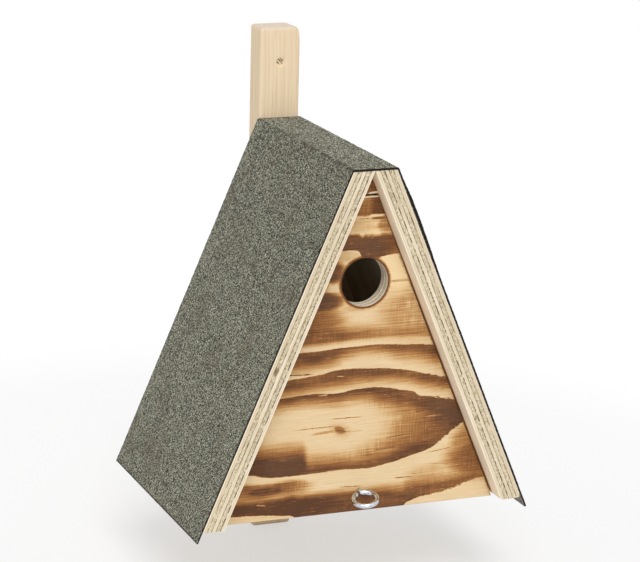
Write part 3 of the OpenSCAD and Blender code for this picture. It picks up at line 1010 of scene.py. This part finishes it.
def roof_panel(name, side):
    """A five-ply panel with bare, slightly uneven layered edges. side is -1 on the left."""
    slope = APEX / COS
    upslope = (-side * SIN, 0, COS)
    outward = (side * COS, 0, SIN)
    foot = (side * (inner_x(0) + PANEL_T / COS), (ROOF_FRONT + ROOF_REAR) / 2, 0)
    place = axes(foot, upslope, (0, -side, 0), (-side / COS, 0, 0))
    half = (ROOF_REAR - ROOF_FRONT) / 2
    outline = [(0, -half), (slope, -half), (slope, half), (0, half)]

    def uneven(x, y, down):
        worn = 0.9 * max(0.0, 1 - math.hypot(x, down) / 2.6) if side > 0 else 0.0
        if down <= 0.5 or down >= PANEL_T - 0.3:
            return 0.02 * rough(x, y, down, 6.0) + worn
        layer = down / PLY_T + 0.17 * (rough(x, 0, 7 * side, 30.0) - 0.5)
        crossing = int(layer) % 2 == 1
        grit = rough(x, y, down * 2.0, 0.9)
        off_glue = abs(layer - round(layer)) * PLY_T
        seam = max(0.0, 1 - off_glue / 0.45) * max(0.0, rough(x, y, round(layer) * 9.0, 5.0) - 0.52) * 1.6
        return 0.05 + (0.16 * grit if crossing else 0.04 * grit) + seam + worn

    # depth runs horizontally through the leaning panel, so it is square to the faces in plies
    board = Board(outline, PANEL_T, place, ease=0.5, ease_steps=2, edge_pitch=1.0, row_pitch=0.4,
                  front_pitch=14.0, back_pitch=4.0, relief=uneven)
    outer_face = Vector(outward).dot(Vector(foot))
    seed = 3.0 + side

    def layer(f):
        return f.measured(outward, outer_face) * (-1 / PLY_T)

    def run_up(f):
        return f.measured(upslope)

    # painted shade: warm brown on the panel's inner face beside the door's edge, in the narrow gap
    def painted_shade_beside_door(f):
        return f.y.ease(FRONT_Y - 0.2, FRONT_Y + 0.8) * f.y.ease(FRONT_Y + FRONT_T, FRONT_Y + 6) * 0.8

    stains = (DULL_OUTER_PLY, *(LEFT_SPOTS if side < 0 else ()))
    cracks = LEFT_CRACKS if side < 0 else RIGHT_CRACKS
    front_edge = ply_edge(name + "_edge", layer, run_up, rearward, seed=seed, stains=stains, cracks=cracks)
    end_edge = ply_edge(name + "_end", layer, rearward, run_up, long_first=False, seed=seed + 10)
    face = ply_face(name + "_face", run_up, rearward, seed, PANEL_LIGHT, PANEL_DARK, painted_shade_beside_door)
    made = board.piece(name, [face, face], [front_edge, end_edge, front_edge, end_edge])
    return settle(made, [("left" if side < 0 else "right") + "_roof_panel"], "box")


def bulge(z, y):
    """Share by which the felt is thicker, where it lifts at the front of the right-hand panel."""
    from_below, from_above, from_behind = (z - 132) / 38, (196 - z) / 16, (ROOF_FRONT + 60 - y) / 50
    share = max(0.0, min(from_below, from_above, from_behind, 1.0))
    return 0.62 * share * share * (3 - 2 * share)


def felt_sheet():
    """One sheet of felt bent over both panels and the flat ridge, its grains pressed in unevenly."""
    slope = APEX / COS + FELT_DROP
    ridge = 2 * PANEL_T / COS
    bend = FELT_T * (math.pi / 2 - LEAN)
    marks = [
        0, slope, slope + bend, slope + bend + ridge,
        slope + 2 * bend + ridge, 2 * (slope + bend) + ridge,
    ]

    def place(s, y, down):
        """s runs up the left side, over the ridge and down the right side."""
        side = -1
        if s > marks[5] / 2:
            side = 1
            s = marks[5] - s
        lift = max(FELT_T - down, 0.03)
        if s <= marks[1]:
            along = s - slope
            if side > 0:
                lift *= 1 + bulge(APEX + along * COS, y)
            base = Vector((side * (PANEL_T / COS - along * SIN), 0, APEX + along * COS))
            turn = LEAN
        elif s <= marks[2]:
            base = Vector((side * PANEL_T / COS, 0, APEX))
            turn = LEAN + (math.pi / 2 - LEAN) * (s - marks[1]) / bend
        else:
            base = Vector((side * (PANEL_T / COS - (s - marks[2])), 0, APEX))
            turn = math.pi / 2
        return base + Vector((side * math.cos(turn), 0, math.sin(turn))) * lift + Vector((0, y, 0))

    outline = [(0, ROOF_FRONT), (marks[5], ROOF_FRONT), (marks[5], ROOF_REAR), (0, ROOF_REAR)]

    def grains(s, y, down):
        if down > FELT_T - 0.2:
            return 0.0
        if down > 0.3:
            return 0.1 + 0.08 * rough(s, y, down, 1.5)
        grain = noise.cell(Vector((s, y, 3.0)) / 0.9)
        return 0.17 + 0.24 * abs(grain) + 0.07 * rough(s, y, 0, 14.0)

    board = Board(outline, FELT_T, place, ease=0.15, ease_steps=1, edge_pitch=1.0, row_pitch=0.4,
                  front_pitch=1.08, back_pitch=12.0, jitter=0.28, creases=tuple(marks[1:5]), relief=grains)
    made = board.piece("felt_sheet", [mineral_felt(), sanded()], [bitumen()])
    return settle(made, ["roofing_felt"], "box")


def door(face, back):
    """The scorched front with its entrance hole."""
    outline = trapezium(DOOR_LO.z, DOOR_HI.z + DOOR_TALLER, DOOR_SET_IN - DOOR_WIDER)
    straight_to = HOLE_Z - HOLE_R
    outline[2] = (outline[2][0] + DOOR_LEAN_OUT, outline[2][1])
    outline.insert(2, (inner_x(straight_to) - DOOR_SET_IN + DOOR_WIDER, straight_to))

    def weathered(x, z, down):
        if down > 0.15:
            return 0.06 * rough(x * 0.3, z, down * 2, 1.2)
        return 0.03 + 0.07 * rough(x * 0.06, z, 0, 1.6)

    board = Board(outline, FRONT_T, facing_front(FRONT_Y), holes=((0.0, HOLE_Z, HOLE_R),), ease=0.2,
                  row_pitch=0.5, front_pitch=1.2, back_pitch=4.0, relief=weathered)
    plies = plies_behind(FRONT_Y, FRONT_T)

    def lengthwise(f):
        return f.x + f.z * 1.4

    edge = ply_edge("front_edge", plies, lengthwise, upward, seed=21.0, bright=paint(240, 214, 172))
    hole_wall = ply_edge("hole_wall", plies, lengthwise, upward, seed=22.0, bright=paint(246, 236, 222))
    made = board.piece("door_board", [face, back], [edge] * len(outline) + [hole_wall])
    return settle(made, ["front_door"], "door")


def gable(face, back):
    """The small fixed triangle over the saw cut, with a fibre torn up at its lower edge."""

    def torn(x, z, down):
        fibre = max(0.0, 1 - abs(z - x * 0.1 - SPLINTER_Z) / 0.6) * max(0.0, 1 - abs(x - 3.0) / 3.5)
        return 0.05 * rough(x * 0.2, z, down, 1.0) - (0.6 * fibre if down < 0.5 else 0.0)

    board = Board(trapezium(GABLE_LO.z - GABLE_LOWER, APEX), FRONT_T, facing_front(FRONT_Y), ease=0.25,
                  ease_steps=1, edge_pitch=0.6, row_pitch=0.5, front_pitch=0.7, back_pitch=2.0, relief=torn)
    edge = ply_edge("gable_edge", plies_behind(FRONT_Y, FRONT_T), lambda f: f.x + f.z, upward, seed=23.0)
    made = board.piece("gable_board", [face, back], [edge])
    return settle(made, ["gable_piece"], "box")


def sawn(x, y, down):
    """Relief of the plain boards at the back and below."""
    return 0.08 * rough(x * 0.1, y, down * 0.5, 2.0)


def back_board(face):
    """The board that closes the box behind."""
    thickness = BACK_HI.y - BACK_LO.y
    board = Board(trapezium(0, APEX), thickness, facing_front(BACK_LO.y), ease=0.4, edge_pitch=1.5,
                  row_pitch=0.6, front_pitch=5.0, back_pitch=2.5, relief=sawn)
    edge = ply_edge("back_edge", plies_behind(BACK_LO.y, thickness), rightward, upward, seed=25.0)
    made = board.piece("rear_board", [face, face], [edge])
    return settle(made, ["back_board"], "box")


def floor_board(face):
    """The floor, whose sides slope with the roof."""
    low, high = inner_x(0), inner_x(FLOOR_HI.z)
    mid_y = (FLOOR_LO.y + FLOOR_HI.y) / 2
    half = (FLOOR_HI.y - FLOOR_LO.y) / 2

    def place(x, y, down):
        rise = FLOOR_HI.z - down
        return Vector((x * (high + (low - high) * down / FLOOR_HI.z) / low, mid_y + y, rise))

    board = Board([(-low, -half), (low, -half), (low, half), (-low, half)], FLOOR_HI.z, place, ease=0.4,
                  edge_pitch=1.5, row_pitch=0.6, front_pitch=5.0, back_pitch=3.0, relief=sawn)
    edge = ply_edge("floor_edge", lambda f: f.z * (PLIES / FLOOR_HI.z), rightward, rearward, seed=27.0)
    made = board.piece("floor_plate", [face, face], [edge])
    return settle(made, ["floor_board"], "box")


def batten():
    """The long planed batten: eased arrises, a worn top corner and two hanging holes."""
    half = BATTEN_HI.x
    depth = BATTEN_HI.y - BATTEN_LO.y
    square = [(-half, BATTEN_LO.z), (half, BATTEN_LO.z), (half, BATTEN_HI.z), (-half, BATTEN_HI.z)]
    outline = rounded(square, 2.0)
    holes = [(0.0, z, HANG_R) for z in (BATTEN_LO.z + HANG_IN, BATTEN_HI.z - HANG_IN)]
    heads = [corners(node) for node in ("upper_batten_screw", "lower_batten_screw")]
    sinks = [((lo.z + hi.z) / 2, hi.x) for lo, hi in heads]
    holes += [(0.0, z, radius + 0.1) for z, radius in sinks]

    def worn(x, z, down):
        for sink_z, radius in sinks:
            if math.hypot(x, z - sink_z) < radius + 0.2 and 0.5 < down < depth - 0.5:
                return -(radius / 2 - 0.1) * min(1.0, (depth - 0.5 - down) / (radius / 2))
        base = 0.05 * rough(x, z * 0.05, down, 1.2)
        corner = max(0.0, 1 - math.dist((x * 1.8, z), (half * 1.8, BATTEN_HI.z)) / 9.0)
        return base + 1.6 * corner * corner * (0.6 + 0.4 * rough(x, z, down, 3.0))

    board = Board(outline, depth, facing_front(BATTEN_LO.y), holes=holes, ease=1.6, ease_steps=4,
                  edge_pitch=1.2, row_pitch=1.0, front_pitch=1.6, back_pitch=2.5, relief=worn)
    wood = planed_softwood("planed_spruce")
    made = board.piece("batten", [wood, wood], [wood])
    settle(made, ["hanging_batten"], "box")
    torn_fibres(BATTEN_HI.z - HANG_IN, BATTEN_LO.y, wood)


# (both ends from the hole's middle, half the thickness, how far the middle sags into the hole)
STRANDS = (
    ((-1.9, 1.5), (0.9, -1.75), 0.62, 0.7),
    ((-0.4, 1.9), (1.9, -0.6), 0.42, 1.3),
    ((-2.0, -0.5), (0.2, -2.0), 0.34, 1.0),
)


def torn_fibres(hole_z, face_y, wood):
    """Splinters pushed across the upper hanging hole, which leave two small dark openings."""
    for number, ((x0, z0), (x1, z1), thick, sag) in enumerate(STRANDS):
        ahead = Vector((x1 - x0, 0, z1 - z0)).normalized()
        square = Vector((-ahead.z, 0, ahead.x))
        rings = []
        for share in spread(0, 1, 0.04):
            arch = math.sin(math.pi * share)
            girth = thick * (0.3 + 0.7 * arch ** 0.5) * (0.8 + 0.3 * rough(share * 9, number, 0, 1.0))
            x, z = x0 + (x1 - x0) * share, hole_z + z0 + (z1 - z0) * share
            middle = Vector((x, face_y + 0.55 + sag * arch, z))
            rings.append([middle + (square * math.cos(turn) - Vector((0, 0.5 * math.sin(turn), 0))) * girth
                          for turn in whole_turn(10)])
        settle(lofted(f"torn_fibre_{number + 1}", rings, wood), [], "box")


EYE_WIRE = 1.4                                    # radius of the eye's wire
EYE_DROOP = math.radians(14)                      # how far the eye hangs down from level
EYE_TWIST = math.radians(8)                       # turn of its ring about the shank
EYE_THREAD = 8.0                                  # length of the thread in the door
EYE_PITCH = 1.1                                   # from one thread to the next
EYE_POINT = 2.2                                   # length of the pointed end
EYE_FROM = math.radians(24)                       # where the ring starts and stops, from the shank
EYE_TO = math.radians(339)
EYE_SIDES = 20


def screw_eye(metal):
    """The eye as bent from one wire: threaded shank, a bend, and a ring whose end stops just short."""
    lo, hi = corners("screw_eye")
    out = Vector((0, -math.cos(EYE_DROOP), -math.sin(EYE_DROOP)))
    level = Vector((1, 0, 0))
    side = level * math.cos(EYE_TWIST) + out.cross(level) * math.sin(EYE_TWIST)
    normal = out.cross(side)
    reach_x, reach_y, reach_z = (math.sqrt(1 - part * part) for part in normal)
    radius = ((hi.x - lo.x) / 2 - EYE_WIRE) / reach_x
    centre = Vector((0, lo.y + radius * reach_y + EYE_WIRE, lo.z + radius * reach_z + EYE_WIRE))
    middle = (FRONT_Y - centre.y) / math.cos(EYE_DROOP)

    def on_ring(turn):
        return middle - radius * math.cos(turn), radius * math.sin(turn)

    path = [(u, 0.0) for u in spread(-EYE_THREAD, 0.9, 0.16)]
    (u0, v0), (u1, v1) = path[-1], on_ring(EYE_FROM)
    u0_on, u1_before, v1_before = u0 + 1.7, u1 - 1.6 * math.sin(EYE_FROM), v1 - 1.6 * math.cos(EYE_FROM)
    for share in spread(0, 1, 0.1)[1:-1]:
        keep, swing = 1 - share, 3 * share * (1 - share)
        u = u0 * keep ** 3 + swing * (keep * u0_on + share * u1_before) + u1 * share ** 3
        v = v0 * keep ** 3 + swing * (keep * v0 + share * v1_before) + v1 * share ** 3
        path.append((u, v))
    path += [on_ring(turn) for turn in spread(EYE_FROM, EYE_TO, 0.05)]

    rings = []
    for i, (u, v) in enumerate(path):
        before, after = Vector(path[max(i - 1, 0)]), Vector(path[min(i + 1, len(path) - 1)])
        ahead = (after - before).normalized()
        square = out * -ahead.y + side * ahead.x
        on_path = centre + out * (u - middle) + side * v
        point = max(0.12, min(1.0, (u + EYE_THREAD) / EYE_POINT))
        blunt = min(1.0, 0.72 + (len(path) - 1 - i) * 0.14)
        ring = []
        for k, turn in enumerate(whole_turn(EYE_SIDES)):
            groove = abs((u / EYE_PITCH + k / EYE_SIDES) % 1.0 * 2 - 1) if u < -0.5 else 1.0
            reach = EYE_WIRE * point * blunt * (0.8 + 0.2 * groove)
            ring.append(on_path + (square * math.cos(turn) + normal * math.sin(turn)) * reach)
        rings.append(ring)
    return settle(lofted("eye_wire", rings, metal), ["screw_eye"], "door")


SCREW_SIDES = 40
SCREW_PITCH = 1.4                                 # from one thread to the next
SCREW_PLAIN = 4.0                                 # length without thread below the head's face
SCREW_POINT = 3.0                                 # length of the pointed end
SCREW_RIM = 0.12                                  # height of the head's rim
SLOT_HALF = 0.75                                  # half the width of the cross recess, and its depth
SLOT_DEEP = 1.5


def batten_screw(name, node, metal):
    """A countersunk screw, seen from behind the batten by its cross-recessed head."""
    lo, hi = corners(node)
    head, cx, cz = (hi.x - lo.x) / 2, (lo.x + hi.x) / 2, (lo.z + hi.z) / 2
    shank = head / 2
    length = hi.y - lo.y
    flat = [(head * share, 0.0) for share in (0.02, 0.1, 0.2, 0.3, 0.4, 0.5, 0.6, 0.7, 0.8, 0.9, 0.97)]
    cone = [(head, SCREW_RIM), (shank, head - shank + SCREW_RIM)]
    body = [(shank, down) for down in spread(head - shank + SCREW_RIM, length - SCREW_POINT, 0.3)[1:]]
    rings = []
    for radius, down in flat + cone + body + [(0.1, length)]:
        ring = []
        for k, turn in enumerate(whole_turn(SCREW_SIDES)):
            x, z = radius * math.cos(turn), radius * math.sin(turn)
            slot = max(min(1.0, (SLOT_HALF - abs(x)) * 3), min(1.0, (SLOT_HALF - abs(z)) * 3), 0.0)
            near = max(0.0, min(1.0, (0.62 * head - radius) * 2))
            recess = SLOT_DEEP * slot * near if down < 0.1 else 0.0
            groove = abs(((down / SCREW_PITCH + k / SCREW_SIDES) % 1.0) * 2 - 1)
            grip = 1 - 0.14 * groove if down > SCREW_PLAIN else 1.0
            ring.append(Vector((cx + x * grip, hi.y - down - recess, cz + z * grip)))
        rings.append(ring)
    return settle(lofted(name, rings, metal), [node], "box")


# ---------------------------------------------------------------- stage, light and camera

STAGE_HALF = 6.0                                  # half the width of the floor, in metres
SHADOW_SOFTENING = 0.5
WORLD_LEVEL = 0.58
KEY = dict(azimuth=-20, elevation=56, level=0.56, angle=38)
FILL = dict(azimuth=-6, elevation=16, level=0.12, angle=70)

CAMERA_AIM = Vector((-2.65, -97.34, 119.58)) * MM
CAMERA_AZIMUTH = 21.93
CAMERA_ELEVATION = 14.79
CAMERA_ROLL = 1.40
CAMERA_DISTANCE = 1.5                             # in metres, as is the aim
CAMERA_LENS = 145.31


def seen_directly(tree):
    """1 for rays that show the backdrop itself: from the camera, by a mirror or through glass."""
    path = added(tree, "LightPath")
    kinds = ("Is Camera Ray", "Is Glossy Ray", "Is Transmission Ray")
    camera_ray, mirrored, refracted = (Field(path, name) for name in kinds)
    return camera_ray.most(mirrored).most(refracted)


def mixed(tree, share, first, second):
    """Ends a tree in a mix of two shader nodes, all of the second where share is 1."""
    mix = added(tree, "MixShader", share, Field(first), Field(second))
    end = next(node for node in tree.nodes if node.bl_idname.startswith("ShaderNodeOutput"))
    feed(Field(mix), end.inputs["Surface"])


def white_world():
    """Soft light from all round, and plain white wherever the backdrop itself is seen."""
    world = bpy.data.worlds.new("studio")
    bpy.context.scene.world = world
    world.use_nodes = True
    tree = world.node_tree
    light = tree.nodes["Background"]
    light.inputs["Color"].default_value = (1, 1, 1, 1)
    light.inputs["Strength"].default_value = WORLD_LEVEL
    mixed(tree, seen_directly(tree), light, added(tree, "Background", (1, 1, 1, 1), 1.0))


def pale_floor():
    """A floor that shows the shadow near the object and runs out to plain white."""
    mesh = bpy.data.meshes.new("studio_floor")
    edges = [(x * STAGE_HALF, y * STAGE_HALF, cad_lo.z) for x, y in ((-1, -1), (1, -1), (1, 1), (-1, 1))]
    mesh.from_pydata(edges, [], [(0, 1, 2, 3)])
    floor = linked("studio_floor", mesh)
    f = Finish("studio_floor")
    f.shader.inputs["Base Color"].default_value = paint(237, 237, 237)
    f.shader.inputs["Roughness"].default_value = 0.9
    f.shader.inputs["Specular IOR Level"].default_value = 0.0
    away = span(f.x, f.y).ease(180, 420).most(SHADOW_SOFTENING)
    mixed(f.tree, away * seen_directly(f.tree), f.shader, added(f.tree, "Emission"))
    mesh.materials.append(f.material)


def soft_light(name, azimuth, elevation, level, angle):
    """A wide, distant lamp. Azimuth 0 is straight in front and grows to the right."""
    lamp = bpy.data.lights.new(name, "SUN")
    lamp.energy = level * math.pi
    lamp.angle = math.radians(angle)
    made = linked(name, lamp)
    turn, rise = math.radians(azimuth), math.radians(elevation)
    towards = Vector((math.sin(turn) * math.cos(rise), -math.cos(turn) * math.cos(rise), math.sin(rise)))
    made.rotation_mode = "QUATERNION"
    made.rotation_quaternion = towards.to_track_quat("Z", "Y")


def camera():
    """The camera of the photo, as fitted to the box's corners."""
    turn, down, roll = (math.radians(v) for v in (CAMERA_AZIMUTH, CAMERA_ELEVATION, CAMERA_ROLL))
    ahead = Vector((math.sin(turn) * math.cos(down), math.cos(turn) * math.cos(down), -math.sin(down)))
    level_right = ahead.cross(Vector((0, 0, 1))).normalized()
    level_up = level_right.cross(ahead)
    right = level_right * math.cos(roll) + level_up * math.sin(roll)
    up = level_up * math.cos(roll) - level_right * math.sin(roll)
    made = linked("camera", bpy.data.cameras.new("camera"))
    made.data.lens = CAMERA_LENS
    made.data.sensor_width = 36.0
    place = CAMERA_AIM - ahead * CAMERA_DISTANCE
    made.matrix_world = Matrix((
        (right.x, up.x, -ahead.x, place.x),
        (right.y, up.y, -ahead.y, place.y),
        (right.z, up.z, -ahead.z, place.z),
        (0, 0, 0, 1),
    ))
    bpy.context.scene.camera = made


def build():
    """Makes every piece and the stage, and gives the CAD's nails their steel."""
    scene = bpy.context.scene
    scene.view_settings.view_transform = "Standard"
    camera()
    white_world()
    pale_floor()
    soft_light("key", **KEY)
    soft_light("fill", **FILL)

    roof_panel("left_panel", -1)
    roof_panel("right_panel", 1)
    felt_sheet()
    burnt = scorched("scorched_face")
    bare = ply_face("bare_face", rightward, upward, 31.0)
    door(burnt, bare)
    gable(burnt, bare)
    back_board(ply_face("back_face", upward, rightward, 33.0))
    floor_board(ply_face("floor_face", rightward, rearward, 35.0))
    batten()
    grey = steel()
    screw_eye(zinc())
    batten_screw("upper_screw", "upper_batten_screw", grey)
    batten_screw("lower_screw", "lower_batten_screw", grey)
    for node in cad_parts.values():
        if node.hide_render:
            continue
        if not node.material_slots:
            node.data.materials.append(grey)
        for slot in node.material_slots:
            slot.link = "OBJECT"
            slot.material = grey


build()
